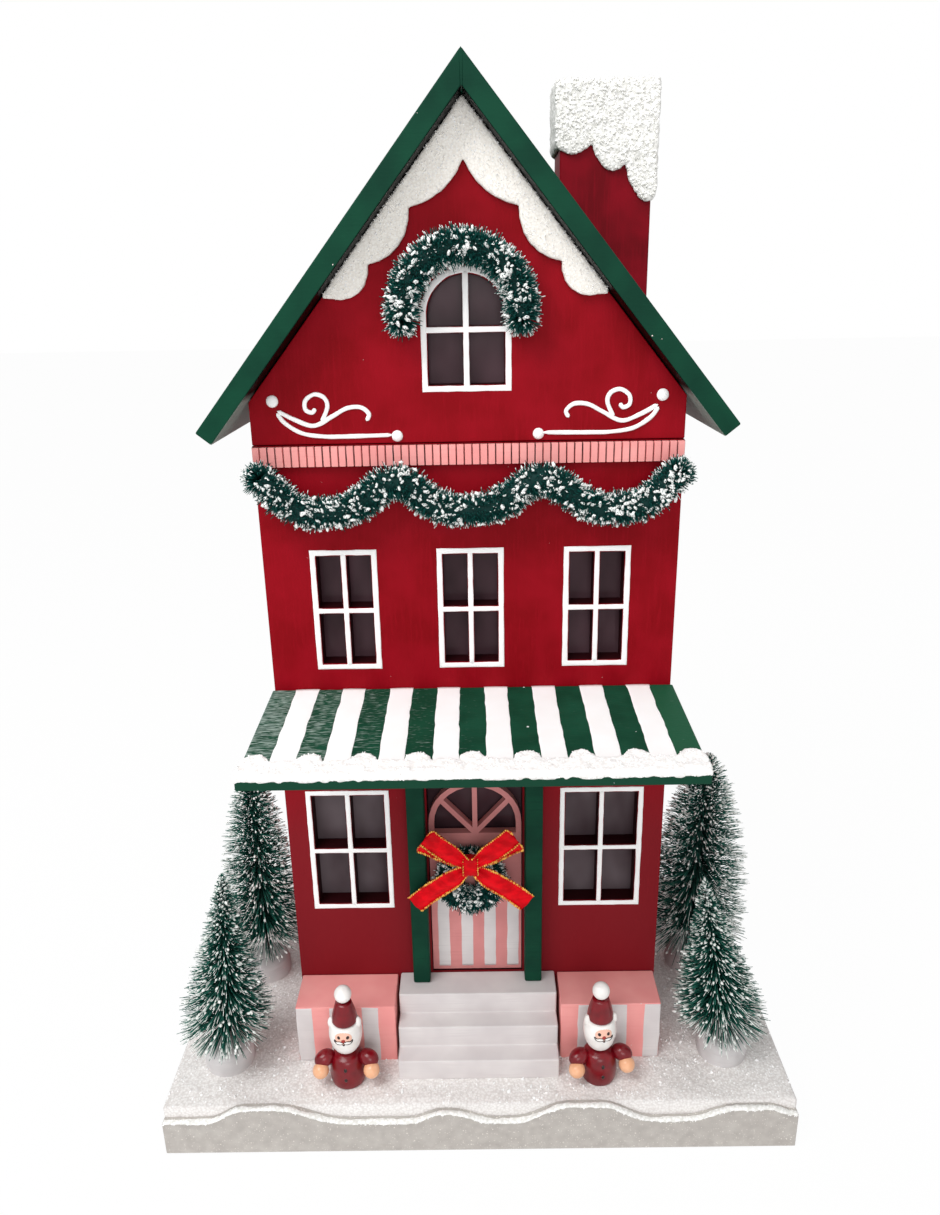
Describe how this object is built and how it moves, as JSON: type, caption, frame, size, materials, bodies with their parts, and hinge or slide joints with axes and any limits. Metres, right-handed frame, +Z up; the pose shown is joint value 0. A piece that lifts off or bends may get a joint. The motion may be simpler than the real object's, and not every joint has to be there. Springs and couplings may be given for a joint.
{
  "type": "christmas house decoration",
  "caption": "Tall painted wooden Christmas house on a snowy base, with striped awning, brush garlands, wreath and bow, arched gable window, chimney, brush trees and turned folk dolls.",
  "frame": {"origin": "on the table, under the middle of the overall box; the front edge of the awning and the back edge of the base slab are equally far away", "axes": "+Z up along the height; the front of the house faces -Y; +X to the viewer's right, the chimney's side"},
  "size_m": [0.2, 0.134, 0.3128],
  "materials": {
    "red_painted_board": "matt red paint on thin board with fine glitter specks",
    "green_painted_board": "matt dark green paint on thin board",
    "glitter_snow": "white paint with clear glitter",
    "pink_painted_board": "matt pink paint on thin board",
    "white_painted_wood": "matt white paint",
    "brush_bristle": "green bristles with white flocked tips on twisted wire",
    "satin_ribbon": "red satin ribbon with gold edge stitching",
    "window_film": "clear glossy film over a dark interior",
    "doll_red": "gloss red lacquer on turned wood",
    "doll_white": "gloss white lacquer on turned wood",
    "doll_skin": "gloss peach lacquer on turned wood"
  },
  "bodies": {
    "root": {"arch_garland": "brush_bristle", "awning": "green_painted_board", "awning_snow": "glitter_snow", "back_wall": "red_painted_board", "base_slab": "glitter_snow", "bow_knot": "satin_ribbon", "chimney": "red_painted_board", "chimney_snow": "glitter_snow", "dentil_band": "pink_painted_board", "doll_left_body": "doll_red", "doll_left_hand_left": "doll_skin", "doll_left_hand_right": "doll_skin", "doll_left_hat": "doll_red", "doll_left_head": "doll_white", "doll_left_pompom": "doll_white", "doll_left_sleeve_left": "doll_red", "doll_left_sleeve_right": "doll_red", "doll_right_body": "doll_red", "doll_right_hand_left": "doll_skin", "doll_right_hand_right": "doll_skin", "doll_right_hat": "doll_red", "doll_right_head": "doll_white", "doll_right_pompom": "doll_white", "doll_right_sleeve_left": "doll_red", "doll_right_sleeve_right": "doll_red", "door": "pink_painted_board", "door_wreath": "brush_bristle", "drift_board": "glitter_snow", "film_door": "window_film", "film_gable": "window_film", "film_lower_left": "window_film", "film_lower_right": "window_film", "film_upper": "window_film", "front_wall": "red_painted_board", "gable_board": "red_painted_board", "gable_snow_trim": "glitter_snow", "left_wall": "red_painted_board", "planter_left": "pink_painted_board", "planter_right": "pink_painted_board", "post_left": "green_painted_board", "post_right": "green_painted_board", "ribbon_bow": "satin_ribbon", "right_wall": "red_painted_board", "roof_left": "green_painted_board", "roof_right": "green_painted_board", "steps": "white_painted_wood", "swag_garland": "brush_bristle", "tree_front_left": "brush_bristle", "tree_front_right": "brush_bristle", "tree_rear_left": "brush_bristle", "tree_rear_right": "brush_bristle", "tree_stand_front_left": "white_painted_wood", "tree_stand_front_right": "white_painted_wood", "tree_stand_rear_left": "white_painted_wood", "tree_stand_rear_right": "white_painted_wood"}
  },
  "joints": []
}
